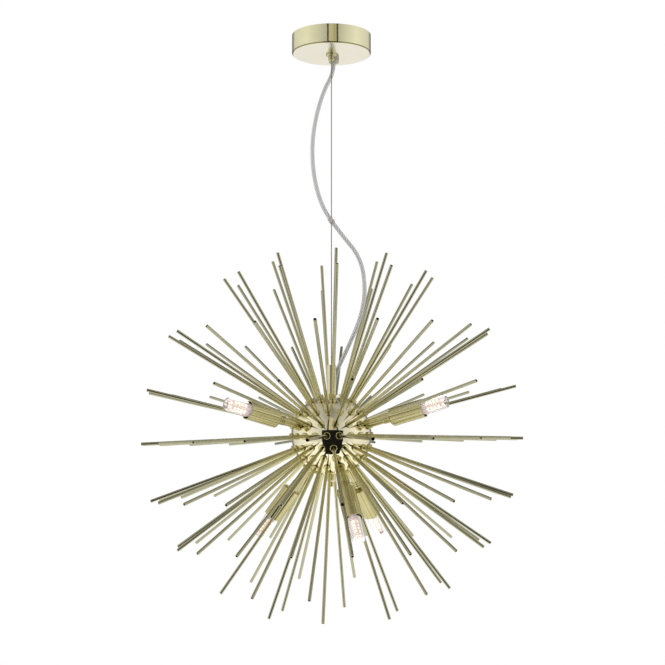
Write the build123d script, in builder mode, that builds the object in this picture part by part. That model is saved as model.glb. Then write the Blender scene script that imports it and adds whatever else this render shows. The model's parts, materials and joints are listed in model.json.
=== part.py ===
"""Sputnik chandelier: a rod-covered ball with six small lamps, hung on one wire.

The origin is on the ceiling plane, at the middle of the canopy. +Z points up and
-Y points to the viewer. Lengths are in millimetres and angles in degrees. A place on
the ball is given by its latitude, and by its azimuth from the viewer towards +X.
"""
import os
from collections import namedtuple
from math import cos, hypot, pi, radians, sin, sqrt, tan

from build123d import *

os.makedirs("parts", exist_ok=True)

# ---------------------------------------------------------------- driving dimensions
ball_drop = 646.0  # ceiling plane to the middle of the ball
running_gap = 0.05  # radial gap of threads, spigots and sliding fits
seat_gap = 0.15  # gap between two pieces that move past each other

# Ceiling bracket and the long nut that it carries
bracket_length = 96.0
bracket_width = 22.0
bracket_thickness = 2.0
bracket_lip = 6.0
screw_spacing = 70.0
screw_slot_width = 4.5
screw_slot_length = 12.0
supply_hole_radius = 5.5
supply_hole_x = 17.0
coupler_flats = 15.0
coupler_vent_radius = 3.0

# Canopy
canopy_radius = 64.0
canopy_height = 31.0
canopy_wall = 1.2
canopy_edge = 2.5

# Wire gripper
stud_radius = 5.0
stud_rise = 14.0
gripper_flange_radius = 8.75
gripper_flange_height = 3.0
gripper_neck_radius = 5.0
gripper_neck_height = 11.0
gripper_chamber_radius = 3.7
gripper_chamber_height = 18.0
plunger_radius = 2.2
plunger_head_radius = 3.2
plunger_head_height = 2.0
plunger_reach = 3.0
plunger_stroke = 2.5
jaw_ball_radius = 0.9
jaw_ball_count = 3
spring_wire_radius = 0.3
spring_turns = 6

# Suspension wire
wire_radius = 0.75
wire_bore_gap = 0.2
wire_spare = 28.0  # length of wire above the gripper's flange
flex_length = 8.0
nipple_radius = 3.9
nipple_length = 8.0

# Cord gland, cord and its clip on the wire
cord_radius = 3.25
gland_x = 4.0
gland_y = 22.0
gland_radius = 8.0
gland_height = 8.0
gland_spigot_radius = 5.2
gland_spigot_height = 8.0
gland_nut_flats = 14.0
gland_nut_height = 3.5
cord_entry_depth = 6.0  # how far the free cord reaches up into the gland
clip_wall = 1.4
clip_length = 9.0
clip_wire_wall = 1.2

# Terminal block in the canopy
block_length = 26.0
block_width = 15.0
block_height = 12.0
block_x = -24.0
terminal_count = 3
terminal_pitch = 7.5
terminal_screw_radius = 1.8
core_radius = 1.1

# Ball and its middle
ball_radius = 63.5
ball_wall = 1.6
seam_rise = -11.6  # height of the seam above the ball's middle, between two rings
seam_lap = 1.8
seam_lap_wall = 1.2
tie_radius = 5.0
tie_bore_radius = 3.0
tie_above_ball = 12.0
tie_below_ball = 8.0
sleeve_radius = 7.25
sleeve_height = 47.2
sleeve_roof = 5.0
sleeve_chamber_radius = 4.0
finial_seat_radius = 7.5
finial_seat_height = 9.5
finial_radius = 5.0
finial_height = 18.4
grommet_x = 3.2
grommet_y = 11.9
grommet_lip_radius = 4.6
grommet_lip_height = 1.2
grommet_radius = 3.9
connector_length = 22.0
connector_width = 14.0
connector_depth = 13.0
cord_inner_height = 50.0  # height above the ball's middle where the cord ends

# Rods
rod_reach = 300.0  # from the middle of the ball to a rod's tip
rod_radius = 2.4
rod_bore_radius = 1.7
rod_tail = 5.0  # length of a rod inside the ball's wall
rod_gap = 0.1
collar_radius = 5.6
collar_height = 3.0
collar_round = 1.0
rod_nut_flats = 7.5
rod_nut_height = 2.6

# Lamps, measured along the lamp's axis
lamp_reach = 201.0  # from the middle of the ball to a bulb's end
arm_radius = 6.2
arm_bore_radius = 4.6
arm_tail = 12.0
arm_collar_radius = 8.4
arm_collar_height = 3.0
arm_length = 42.0  # ball surface to cup
coupling_length = 13.0
coupling_radius = 7.4
coupling_groove = 0.6
arm_nut_flats = 17.0
arm_nut_height = 4.0
cup_radius = 14.5
cup_length = 55.0
cup_wall = 1.0
cup_base = 1.6
cup_chamfer = 2.2
holder_radius = 8.5
holder_length = 27.0
holder_slot_length = 12.0
holder_slot_width = 3.4
holder_slot_depth = 8.5
stud_into_holder = 12.0
bulb_radius = 12.0
bulb_end_radius = 10.2
bulb_glass = 1.0
bulb_round = 5.0
bulb_base_length = 10.0
bulb_core_width = 8.0
bulb_core_clearance = 8.0
pin_spacing = 6.6
pin_width = 2.4
pin_thickness = 1.4
pin_length = 7.0
lead_radius = 2.0
lead_start = 18.0

# Rings of places on the ball. Every place holds a rod, but for the places that hold a
# lamp: one in lamp_step places, counted from place lamp_first.
Ring = namedtuple("Ring", "name latitude places first_azimuth lamp_step lamp_first")
rings = [
    Ring("crown", 70.7, 6, 6.9, None, None),
    Ring("upper", 56.2, 12, 4.2, None, None),
    Ring("shoulder", 31.9, 18, -4.6, None, None),
    Ring("upper_lamp", 13.8, 18, 5.9, 6, 3),
    Ring("equator", -2.0, 21, 10.9, None, None),
    Ring("waist", -19.2, 21, 2.8, None, None),
    Ring("skirt", -35.0, 18, 6.2, None, None),
    Ring("lower_lamp", -52.7, 12, 18.8, 4, 0),
    Ring("foot", -69.0, 6, -9.0, None, None),
]
ring_lean = 0.9  # how far the rings lie out of level, lower at the viewer's left

# Free cord, from the gland to the clip, then from the clip into the ball. The points
# between its ends are chosen by hand. Their heights are above the middle of the ball,
# for a drop of route_drop, and keep their share of any other drop.
route_drop = 646.0
clip_height = 343.2
clip_y = 5.2
clip_lean = 36.0
clip_run_in = 24.0
clip_run_out = 30.0
upper_route_middle = [
    (4.0, 22.0, 592.0),
    (-12.5, 19.0, 561.0),
    (-26.0, 14.0, 513.5),
    (-32.0, 9.5, 463.0),
    (-28.0, 6.5, 410.5),
]
lower_route_middle = [
    (46.0, 6.5, 285.0),
    (55.0, 7.0, 237.5),
    (48.0, 6.0, 188.0),
    (23.0, 6.5, 131.5),
    (3.2, 11.9, 92.0),
]
bend_share = 0.45  # share of the shorter run that an arc may take

# ---------------------------------------------------------------- worked-out places
ball_centre = Vector(0, 0, -ball_drop)
canopy_floor = -canopy_height
canopy_inner_floor = canopy_floor + canopy_wall
gripper_mouth = canopy_floor - gripper_neck_height
side_pivot = gripper_mouth - plunger_reach
fore_pivot = side_pivot - flex_length
sleeve_foot = -ball_drop + ball_radius
sleeve_top = sleeve_foot + sleeve_height
nipple_top = sleeve_top - sleeve_roof - seat_gap
gland_mouth = canopy_floor - gland_height
arm_end = ball_radius + arm_length
cup_mouth = arm_end + cup_length
holder_foot = arm_end + cup_base
holder_top = holder_foot + holder_length
bulb_foot = holder_top + seat_gap
bulb_shoulder = bulb_foot + bulb_base_length


def lean(x, y, z):
    """Turn a vector by the rings' lean."""
    turn = radians(ring_lean)
    return Vector(x * cos(turn) - z * sin(turn), y, x * sin(turn) + z * cos(turn))


def direction(latitude, azimuth):
    """Return the unit vector from the ball's middle through a place on the ball."""
    level = cos(radians(latitude))
    x = level * sin(radians(azimuth))
    y = -level * cos(radians(azimuth))
    return lean(x, y, sin(radians(latitude)))


def radial_plane(place, distance=0.0):
    """Return the plane across a radius of the ball, with its z axis pointing outwards."""
    outward = direction(*place)
    along_ring = lean(cos(radians(place[1])), sin(radians(place[1])), 0)
    return Plane(origin=ball_centre + outward * distance, x_dir=along_ring, z_dir=outward)


def holds_lamp(ring, index):
    """Tell whether a place of a ring holds a lamp instead of a rod."""
    return ring.lamp_step is not None and index % ring.lamp_step == ring.lamp_first


def ring_places(ring, lamps):
    """Return the places of one ring that hold a lamp, or those that hold a rod."""
    return [
        (ring.latitude, ring.first_azimuth + 360.0 * index / ring.places)
        for index in range(ring.places)
        if holds_lamp(ring, index) == lamps
    ]


rod_places = [place for ring in rings for place in ring_places(ring, lamps=False)]
lamp_places = [place for ring in rings for place in ring_places(ring, lamps=True)]
seam_height = seam_rise - ball_drop


def save(part, name):
    """Label a finished piece and write it as its own file."""
    part.label = name
    export_step(part, f"parts/{name}.step")


# ---------------------------------------------------------------- ceiling side
def make_ceiling_bracket():
    """Make the slotted bar that screws to the ceiling, with its two stiffening lips."""
    with BuildPart() as ceiling_bracket:
        with BuildSketch(Plane.XY.offset(-bracket_thickness)):
            Rectangle(bracket_length, bracket_width)
            with Locations((-screw_spacing / 2, 0), (screw_spacing / 2, 0)):
                SlotOverall(screw_slot_length, screw_slot_width, mode=Mode.SUBTRACT)
            with Locations((supply_hole_x, 0)):
                Circle(supply_hole_radius, mode=Mode.SUBTRACT)
            Circle(coupler_vent_radius, mode=Mode.SUBTRACT)
        extrude(amount=bracket_thickness)
        with BuildSketch(Plane.XY.offset(-bracket_lip)):
            lip_y = (bracket_width - bracket_thickness) / 2
            with Locations((0, lip_y), (0, -lip_y)):
                Rectangle(bracket_length, bracket_thickness)
        extrude(amount=bracket_lip)
        corners = ceiling_bracket.edges().filter_by(Axis.Z).group_by(Axis.X)
        chamfer(corners[0] + corners[-1], bracket_thickness / 4)
    save(ceiling_bracket.part, "ceiling_bracket")


def make_bracket_coupler():
    """Make the long hexagon nut under the bracket that the gripper's stud screws into."""
    coupler_foot = canopy_inner_floor + seat_gap
    with BuildPart() as bracket_coupler:
        with BuildSketch(Plane.XY.offset(coupler_foot)):
            RegularPolygon(coupler_flats / 2, 6, major_radius=False)
            Circle(stud_radius + running_gap, mode=Mode.SUBTRACT)
        extrude(amount=-bracket_thickness - coupler_foot)
        chamfer(bracket_coupler.edges().group_by(Axis.Z)[0].filter_by(GeomType.LINE), 0.6)
    save(bracket_coupler.part, "bracket_coupler")


def make_canopy_cup():
    """Make the round ceiling cup, open at the ceiling, with its two floor holes."""
    with BuildPart() as canopy_cup:
        with BuildSketch(Plane.XY.offset(canopy_floor)):
            Circle(canopy_radius)
        extrude(amount=canopy_height)
        fillet(canopy_cup.edges().group_by(Axis.Z)[0], canopy_edge)
        rim = canopy_cup.faces().sort_by(Axis.Z)[-1]
        offset(amount=-canopy_wall, openings=rim)
        with BuildSketch(Plane.XY.offset(canopy_floor)):
            Circle(stud_radius + 2 * running_gap)
            with Locations((gland_x, gland_y)):
                Circle(gland_spigot_radius + 2 * running_gap)
        extrude(amount=2 * canopy_wall, mode=Mode.SUBTRACT)
    save(canopy_cup.part, "canopy_cup")


def make_gripper_body():
    """Make the gripper's stud, flange and neck, bored for the spring and the plunger."""
    stud_top = canopy_floor + stud_rise
    chamber_foot = gripper_mouth + 2 * plunger_head_height
    chamber_top = chamber_foot + gripper_chamber_height
    flange_foot = canopy_floor - gripper_flange_height
    with BuildPart() as gripper_body:
        with BuildSketch(Plane.XZ):
            with BuildLine():
                Polyline(
                    (0, stud_top),
                    (stud_radius, stud_top),
                    (stud_radius, canopy_floor),
                    (gripper_flange_radius, canopy_floor),
                    (gripper_flange_radius, flange_foot),
                    (gripper_neck_radius, flange_foot),
                    (gripper_neck_radius, gripper_mouth + 1),
                    (gripper_neck_radius - 1, gripper_mouth),
                    (0, gripper_mouth),
                    close=True,
                )
            make_face()
        revolve(axis=Axis.Z)
        rims = gripper_body.edges().filter_by(GeomType.CIRCLE)
        flange_rims = rims.filter_by(lambda rim: abs(rim.radius - gripper_flange_radius) < 0.01)
        fillet(flange_rims.sort_by(Axis.Z)[0], gripper_flange_height / 3)
        with BuildSketch(Plane.XY.offset(gripper_mouth)):
            Circle(plunger_radius + running_gap)
        extrude(amount=chamber_foot - gripper_mouth, mode=Mode.SUBTRACT)
        with BuildSketch(Plane.XY.offset(chamber_foot)):
            Circle(gripper_chamber_radius)
        extrude(amount=gripper_chamber_height, mode=Mode.SUBTRACT)
        with BuildSketch(Plane.XY.offset(chamber_top)):
            Circle(wire_radius + wire_bore_gap)
        extrude(amount=stud_top - chamber_top, mode=Mode.SUBTRACT)
    save(gripper_body.part, "gripper_body")
    return chamber_foot, chamber_top


def make_gripper_plunger(chamber_foot):
    """Make the sprung sleeve that is pushed up to let the wire go, and its jaw balls."""
    head_foot = chamber_foot + seat_gap
    head_top = head_foot + plunger_head_height
    ball_ring = wire_radius + jaw_ball_radius + running_gap
    with BuildPart() as gripper_plunger:
        with BuildSketch(Plane.XY.offset(side_pivot)):
            Circle(plunger_radius)
        extrude(amount=head_foot - side_pivot)
        fillet(gripper_plunger.edges().group_by(Axis.Z)[0], plunger_radius / 4)
        with BuildSketch(Plane.XY.offset(head_foot)):
            Circle(plunger_head_radius)
        extrude(amount=plunger_head_height)
        with BuildSketch(Plane.XY.offset(side_pivot)):
            Circle(wire_radius + wire_bore_gap)
        extrude(amount=head_top - side_pivot, mode=Mode.SUBTRACT)
    save(gripper_plunger.part, "gripper_plunger")
    with BuildPart() as gripper_balls:
        with Locations(Plane.XY.offset(head_top + jaw_ball_radius)):
            with PolarLocations(ball_ring, jaw_ball_count):
                Sphere(jaw_ball_radius)
    save(gripper_balls.part, "gripper_balls")
    return head_top + 2 * jaw_ball_radius


def make_gripper_spring(spring_foot, spring_top):
    """Make the coil spring that holds the jaw balls down."""
    spring_radius = gripper_chamber_radius - spring_wire_radius - seat_gap
    coil_height = spring_top - spring_foot - 2 * spring_wire_radius
    coil_foot = spring_foot + spring_wire_radius
    with BuildPart() as gripper_spring:
        with BuildLine():
            coil = Helix(coil_height / spring_turns, coil_height, spring_radius, center=(0, 0, coil_foot))
        with BuildSketch(Plane(origin=coil @ 0, z_dir=coil % 0)):
            Circle(spring_wire_radius)
        sweep(path=coil, is_frenet=True)
    save(gripper_spring.part, "gripper_spring")


def make_cord_gland():
    """Make the clear gland under the canopy and the nut that holds it from inside."""
    with BuildPart() as cord_gland:
        with BuildSketch(Plane.XY.offset(gland_mouth)):
            with Locations((gland_x, gland_y)):
                Circle(gland_radius)
        extrude(amount=gland_height)
        fillet(cord_gland.edges().group_by(Axis.Z)[0], gland_height / 4)
        with BuildSketch(Plane.XY.offset(canopy_floor)):
            with Locations((gland_x, gland_y)):
                Circle(gland_spigot_radius)
        extrude(amount=gland_spigot_height)
        with BuildSketch(Plane.XY.offset(gland_mouth)):
            with Locations((gland_x, gland_y)):
                Circle(cord_radius + 2 * running_gap)
        extrude(amount=gland_height + gland_spigot_height, mode=Mode.SUBTRACT)
    save(cord_gland.part, "cord_gland")
    with BuildPart() as cord_gland_nut:
        with BuildSketch(Plane.XY.offset(canopy_inner_floor)):
            with Locations((gland_x, gland_y)):
                RegularPolygon(gland_nut_flats / 2, 6, major_radius=False)
                Circle(gland_spigot_radius + running_gap, mode=Mode.SUBTRACT)
        extrude(amount=gland_nut_height)
    save(cord_gland_nut.part, "cord_gland_nut")


def make_terminal_block():
    """Make the block that joins the cord to the supply, its screws, and the cord's tail."""
    block_top = -bracket_thickness
    block_foot = block_top - block_height
    terminal_ys = [terminal_pitch * (i - (terminal_count - 1) / 2) for i in range(terminal_count)]
    hole_depth = block_height * 0.6
    with BuildPart() as terminal_block:
        with BuildSketch(Plane.XY.offset(block_foot)):
            with Locations((block_x, 0)):
                Rectangle(block_width, block_length)
        extrude(amount=block_height - bracket_lip + bracket_thickness)
        fillet(terminal_block.edges().filter_by(Axis.Z), 1.5)
        with BuildSketch(Plane.XY.offset(block_top - bracket_lip)):
            with Locations((block_x, 0)):
                Rectangle(block_width, bracket_width - 2 * bracket_thickness - 4 * seat_gap)
        extrude(amount=bracket_lip)
        with BuildSketch(Plane.XY.offset(block_foot)):
            with Locations(*[(block_x, y) for y in terminal_ys]):
                Circle(terminal_screw_radius + running_gap)
        extrude(amount=hole_depth, mode=Mode.SUBTRACT)
    save(terminal_block.part, "terminal_block")
    with BuildPart() as terminal_screws:
        with BuildSketch(Plane.XY.offset(block_foot)):
            with Locations(*[(block_x, y) for y in terminal_ys]):
                Circle(terminal_screw_radius)
        extrude(amount=hole_depth - seat_gap)
        with BuildSketch(Plane.XY.offset(block_foot)):
            with Locations(*[(block_x, y) for y in terminal_ys]):
                Rectangle(2 * terminal_screw_radius + 1, 0.6)
        extrude(amount=0.8, mode=Mode.SUBTRACT)
    save(terminal_screws.part, "terminal_screws")
    tail_foot = gland_mouth + cord_entry_depth
    tail_top = canopy_floor + gland_spigot_height + 3
    core_root = Vector(gland_x, gland_y, tail_top - 1.5 * core_radius)
    core_end_x = block_x + block_width / 2 + seat_gap
    core_end_height = block_foot + block_height / 2
    with BuildPart() as cord_tail:
        with BuildSketch(Plane.XY.offset(tail_foot)):
            with Locations((gland_x, gland_y)):
                Circle(cord_radius)
        extrude(amount=tail_top - tail_foot)
        for y in terminal_ys:
            core_end = Vector(core_end_x - core_radius, y, core_end_height)
            core_run = core_root - core_end
            with BuildSketch(Plane(origin=core_end, z_dir=core_run)):
                Circle(core_radius)
            extrude(amount=core_run.length)
        split(bisect_by=Plane.YZ.offset(core_end_x), keep=Keep.TOP)
    save(cord_tail.part, "cord_tail")


# ---------------------------------------------------------------- wire and cord
def make_wires():
    """Make the wire in the gripper, its short flexing length and the long hanging wire."""
    lengths = {
        "wire_anchor_end": (side_pivot + seat_gap, side_pivot + wire_spare + gripper_neck_height),
        "wire_flex_length": (fore_pivot + seat_gap, side_pivot - seat_gap),
        "suspension_wire": (nipple_top - nipple_length, fore_pivot - seat_gap),
    }
    for name, (foot, top) in lengths.items():
        with BuildPart() as wire:
            with BuildSketch(Plane.XY.offset(foot)):
                Circle(wire_radius)
            extrude(amount=top - foot)
        save(wire.part, name)
    with BuildPart() as wire_end_nipple:
        with BuildSketch(Plane.XY.offset(nipple_top - nipple_length)):
            Circle(nipple_radius)
            Circle(wire_radius + running_gap / 2, mode=Mode.SUBTRACT)
        extrude(amount=nipple_length)
        rims = wire_end_nipple.edges().filter_by(GeomType.CIRCLE)
        chamfer(rims.filter_by(lambda rim: abs(rim.radius - nipple_radius) < 0.01), 0.8)
    save(wire_end_nipple.part, "wire_end_nipple")


def route_point(x, y, height):
    """Return a point of the free cord, at a height that follows the drop."""
    return Vector(x, y, height * ball_drop / route_drop - ball_drop)


def bend_radii(points):
    """Return the largest arc that fits each corner of a cord's route."""
    radii = []
    for before, corner, after in zip(points, points[1:], points[2:]):
        run_in, run_out = corner - before, after - corner
        half_turn = radians(run_in.get_angle(run_out)) / 2
        radii.append(bend_share * min(run_in.length, run_out.length) / tan(half_turn))
    return radii


def make_cord(name, points):
    """Sweep one free stretch of cord, and print its arcs, length and volume."""
    radii = bend_radii(points)
    with BuildPart() as cord:
        with BuildLine() as route:
            FilletPolyline(*points, radius=radii)
        path = route.wires()[0]
        with BuildSketch(Plane(origin=path @ 0, z_dir=path % 0)):
            Circle(cord_radius)
        sweep(path=path)
    save(cord.part, name)
    plain_volume = pi * cord_radius**2 * path.length
    print(f"{name}: arcs {[round(radius) for radius in radii]} mm, least allowed {10 * cord_radius:.0f}")
    print(f"  length {path.length:.1f} mm, volume / plain volume {cord.part.volume / plain_volume:.4f}")


clip_centre = route_point(0, clip_y, clip_height)
clip_axis = Vector(sin(radians(clip_lean)), 0, -cos(radians(clip_lean)))


def make_cord_stretches():
    """Make the cord from the gland to the clip, and from the clip into the ball."""
    upper_start = Vector(gland_x, gland_y, gland_mouth + cord_entry_depth)
    into_clip = clip_centre - clip_axis * clip_run_in
    out_of_clip = clip_centre + clip_axis * clip_run_out
    lower_end = Vector(grommet_x, grommet_y, cord_inner_height - ball_drop)
    upper_middle = [route_point(*point) for point in upper_route_middle]
    lower_middle = [route_point(*point) for point in lower_route_middle]
    make_cord("cord_upper_length", [upper_start, *upper_middle, into_clip, clip_centre])
    make_cord("cord_lower_length", [clip_centre, out_of_clip, *lower_middle, lower_end])


def make_cable_clip():
    """Make the small clear clip that holds the cord to the wire."""
    clip_plane = Plane(origin=clip_centre, z_dir=clip_axis)
    wire_lobe_radius = wire_radius + clip_wire_wall
    lobe_plane = Plane.XY.offset(clip_centre.Z)
    with BuildPart() as cable_clip:
        with BuildSketch(clip_plane):
            Circle(cord_radius + clip_wall)
        extrude(amount=clip_length / 2, both=True)
        with BuildSketch(lobe_plane):
            Circle(wire_lobe_radius)
        extrude(amount=clip_length / 2, both=True)
        with BuildSketch(clip_plane):
            Circle(cord_radius + running_gap)
        extrude(amount=clip_length, both=True, mode=Mode.SUBTRACT)
        with BuildSketch(lobe_plane):
            Circle(wire_radius + running_gap)
        extrude(amount=clip_length, both=True, mode=Mode.SUBTRACT)
    save(cable_clip.part, "cable_clip")


# ---------------------------------------------------------------- ball and its middle
def ball_holes_form():
    """Return the solids to cut from the ball for rods, arms, tie tube and cord."""
    wall_middle = ball_radius - ball_wall / 2
    with BuildPart() as holes:
        with BuildSketch(*[radial_plane(place, wall_middle) for place in rod_places]):
            Circle(rod_radius + rod_gap)
        extrude(amount=2 * ball_wall, both=True)
        with BuildSketch(*[radial_plane(place, wall_middle) for place in lamp_places]):
            Circle(arm_radius + rod_gap)
        extrude(amount=2 * ball_wall, both=True)
        with BuildSketch(Plane.XY.offset(-ball_drop)):
            Circle(tie_radius + rod_gap)
        extrude(amount=2 * ball_radius, both=True)
        with BuildSketch(Plane.XY.offset(-ball_drop + tie_radius)):
            with Locations((grommet_x, grommet_y)):
                Circle(grommet_radius + running_gap)
        extrude(amount=ball_radius)
    return holes.part


def make_ball_shells():
    """Make the ball's two shells. The lower one steps up inside the upper one."""
    seam = Plane.XY.offset(seam_height)
    holes = ball_holes_form()
    inner_radius = ball_radius - ball_wall
    lap_reach = max(abs(seam_rise), abs(seam_rise + seam_lap))
    lap_radius = sqrt(inner_radius**2 - lap_reach**2) - 2 * running_gap
    lap_inner_radius = lap_radius - seam_lap_wall
    for name, side in (("ball_upper_shell", Keep.TOP), ("ball_lower_shell", Keep.BOTTOM)):
        with BuildPart() as shell:
            with Locations(ball_centre):
                Sphere(ball_radius)
                Sphere(inner_radius, mode=Mode.SUBTRACT)
            split(bisect_by=seam, keep=side)
            if side == Keep.BOTTOM:
                with BuildSketch(Plane.XY.offset(seam_height - seam_lap)):
                    Circle(inner_radius)
                    Circle(lap_inner_radius, mode=Mode.SUBTRACT)
                extrude(amount=seam_lap)
                with BuildSketch(Plane.XY.offset(seam_height)):
                    Circle(lap_radius)
                    Circle(lap_inner_radius, mode=Mode.SUBTRACT)
                extrude(amount=seam_lap)
            add(holes, mode=Mode.SUBTRACT)
        save(shell.part, name)


def make_hanger():
    """Make the sleeve on top of the ball that the wire's end turns in."""
    with BuildPart() as hanger_sleeve:
        with BuildSketch(Plane.XY.offset(sleeve_foot)):
            Circle(sleeve_radius)
        extrude(amount=sleeve_height)
        fillet(hanger_sleeve.edges().group_by(Axis.Z)[-1], 0.8)
        with BuildSketch(Plane.XY.offset(sleeve_foot)):
            Circle(tie_radius + running_gap)
        extrude(amount=tie_above_ball + seat_gap, mode=Mode.SUBTRACT)
        chamber_foot = sleeve_foot + tie_above_ball + seat_gap
        with BuildSketch(Plane.XY.offset(chamber_foot)):
            Circle(sleeve_chamber_radius)
        extrude(amount=sleeve_top - sleeve_roof - chamber_foot, mode=Mode.SUBTRACT)
        with BuildSketch(Plane.XY.offset(sleeve_top - sleeve_roof)):
            Circle(wire_radius + wire_bore_gap)
        extrude(amount=sleeve_roof, mode=Mode.SUBTRACT)
    save(hanger_sleeve.part, "hanger_sleeve")


def make_tie_and_finial():
    """Make the threaded tube that clamps the two shells, and the knob under the ball."""
    tie_foot = -ball_drop - ball_radius - tie_below_ball
    tie_top = sleeve_foot + tie_above_ball
    with BuildPart() as centre_tie_tube:
        with BuildSketch(Plane.XY.offset(tie_foot)):
            Circle(tie_radius)
            Circle(tie_bore_radius, mode=Mode.SUBTRACT)
        extrude(amount=tie_top - tie_foot)
    save(centre_tie_tube.part, "centre_tie_tube")
    finial_top = -ball_drop - ball_radius
    with BuildPart() as bottom_finial:
        with BuildSketch(Plane.XY.offset(finial_top - finial_seat_height)):
            Circle(finial_seat_radius)
        extrude(amount=finial_seat_height)
        chamfer(bottom_finial.edges().group_by(Axis.Z)[0], 1.2)
        with BuildSketch(Plane.XY.offset(finial_top - finial_height)):
            Circle(finial_radius)
        extrude(amount=finial_height - finial_seat_height)
        fillet(bottom_finial.edges().group_by(Axis.Z)[0], 1.5)
        with BuildSketch(Plane.XY.offset(finial_top)):
            Circle(tie_radius + running_gap)
        extrude(amount=-tie_below_ball - seat_gap, mode=Mode.SUBTRACT)
    save(bottom_finial.part, "bottom_finial")


def make_ball_wiring():
    """Make the cord's bush in the ball, the connector under it and the lamps' leads."""
    hole_height = sqrt(ball_radius**2 - grommet_x**2 - grommet_y**2)
    grommet_reach = hypot(grommet_x, grommet_y) + grommet_lip_radius
    inner_height = sqrt((ball_radius - ball_wall) ** 2 - grommet_reach**2)
    with BuildPart() as cord_grommet:
        with BuildSketch(Plane.XY.offset(hole_height - ball_drop)):
            with Locations((grommet_x, grommet_y)):
                Circle(grommet_lip_radius)
        extrude(amount=grommet_lip_height + 1)
        fillet(cord_grommet.edges().group_by(Axis.Z)[-1], grommet_lip_height / 2)
        with BuildSketch(Plane.XY.offset(inner_height - ball_drop)):
            with Locations((grommet_x, grommet_y)):
                Circle(grommet_radius)
        extrude(amount=hole_height - inner_height)
        with Locations(ball_centre):
            Sphere(ball_radius + running_gap, mode=Mode.SUBTRACT)
        with BuildSketch(Plane.XY.offset(inner_height - ball_drop)):
            with Locations((grommet_x, grommet_y)):
                Circle(grommet_radius)
        extrude(amount=hole_height - inner_height + 1)
        with BuildSketch(Plane.XY.offset(inner_height - ball_drop)):
            with Locations((grommet_x, grommet_y)):
                Circle(cord_radius + running_gap)
        extrude(amount=2 * ball_radius, mode=Mode.SUBTRACT)
    save(cord_grommet.part, "cord_grommet")
    connector_y = tie_radius + seat_gap + connector_depth / 2
    with BuildPart() as connector_block:
        with BuildSketch(Plane.XY.offset(cord_inner_height - ball_drop - connector_length)):
            with Locations((grommet_x, connector_y)):
                Rectangle(connector_width, connector_depth)
        extrude(amount=connector_length)
        fillet(connector_block.edges().filter_by(Axis.Z), 1.5)
    save(connector_block.part, "connector_block")
    lead_end = holder_foot + stud_into_holder + cup_base
    with BuildPart() as lamp_leads:
        with BuildSketch(*[radial_plane(place, lead_start) for place in lamp_places]):
            Circle(lead_radius)
        extrude(amount=lead_end - lead_start)
    save(lamp_leads.part, "lamp_leads")


# ---------------------------------------------------------------- rods
def make_rods():
    """Make each ring's tubular rods, their collars on the ball and their nuts inside."""
    rod_start = ball_radius - ball_wall - rod_tail
    for ring in rings:
        places = ring_places(ring, lamps=False)
        with BuildPart() as ring_rods:
            with BuildSketch(*[radial_plane(place, rod_start) for place in places]):
                Circle(rod_radius)
                Circle(rod_bore_radius, mode=Mode.SUBTRACT)
            extrude(amount=rod_reach - rod_start)
        save(ring_rods.part, f"{ring.name}_rods")
    with BuildPart() as collar_form:
        with BuildSketch():
            Circle(collar_radius)
            Circle(rod_radius + rod_gap, mode=Mode.SUBTRACT)
        extrude(amount=collar_height)
        rims = collar_form.edges().filter_by(GeomType.CIRCLE)
        outer_rims = rims.filter_by(lambda rim: abs(rim.radius - collar_radius) < 0.01)
        fillet(outer_rims.sort_by(Axis.Z)[-1], collar_round)
    with BuildPart() as rod_collars:
        with Locations(*[radial_plane(place, ball_radius).location for place in rod_places]):
            add(collar_form.part)
    save(rod_collars.part, "rod_collars")
    nut_seat = sqrt((ball_radius - ball_wall) ** 2 - (rod_nut_flats / sqrt(3)) ** 2) - running_gap
    with BuildPart() as rod_nuts:
        with BuildSketch(*[radial_plane(place, nut_seat - rod_nut_height) for place in rod_places]):
            RegularPolygon(rod_nut_flats / 2, 6, major_radius=False)
            Circle(rod_radius + running_gap, mode=Mode.SUBTRACT)
        extrude(amount=rod_nut_height)
    save(rod_nuts.part, "rod_nuts")


# ---------------------------------------------------------------- lamps
def lamp_arm_form():
    """Return one arm, standing on the ball's middle with its axis up."""
    coupling_foot = arm_end - coupling_length
    groove_foots = [coupling_foot + coupling_length * share for share in (0.2, 0.45)]
    with BuildPart() as arm:
        with BuildSketch(Plane.XZ):
            with BuildLine():
                Polyline(
                    (0, ball_radius - arm_tail),
                    (arm_radius, ball_radius - arm_tail),
                    (arm_radius, ball_radius),
                    (arm_collar_radius, ball_radius),
                    (arm_collar_radius, ball_radius + arm_collar_height),
                    (arm_radius, ball_radius + arm_collar_height),
                    (arm_radius, coupling_foot),
                    (arm_radius + 1, coupling_foot),
                    (coupling_radius, arm_end),
                    (arm_radius, arm_end),
                    (arm_radius, holder_foot + stud_into_holder),
                    (0, holder_foot + stud_into_holder),
                    close=True,
                )
            make_face()
        revolve(axis=Axis.Z)
        for groove_foot in groove_foots:
            with BuildSketch(Plane.XY.offset(groove_foot)):
                Circle(coupling_radius)
                Circle(arm_radius, mode=Mode.SUBTRACT)
            extrude(amount=2 * coupling_groove, mode=Mode.SUBTRACT)
        with BuildSketch(Plane.XY.offset(ball_radius - arm_tail)):
            Circle(arm_bore_radius)
        extrude(amount=lamp_reach, mode=Mode.SUBTRACT)
    return arm.part


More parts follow.
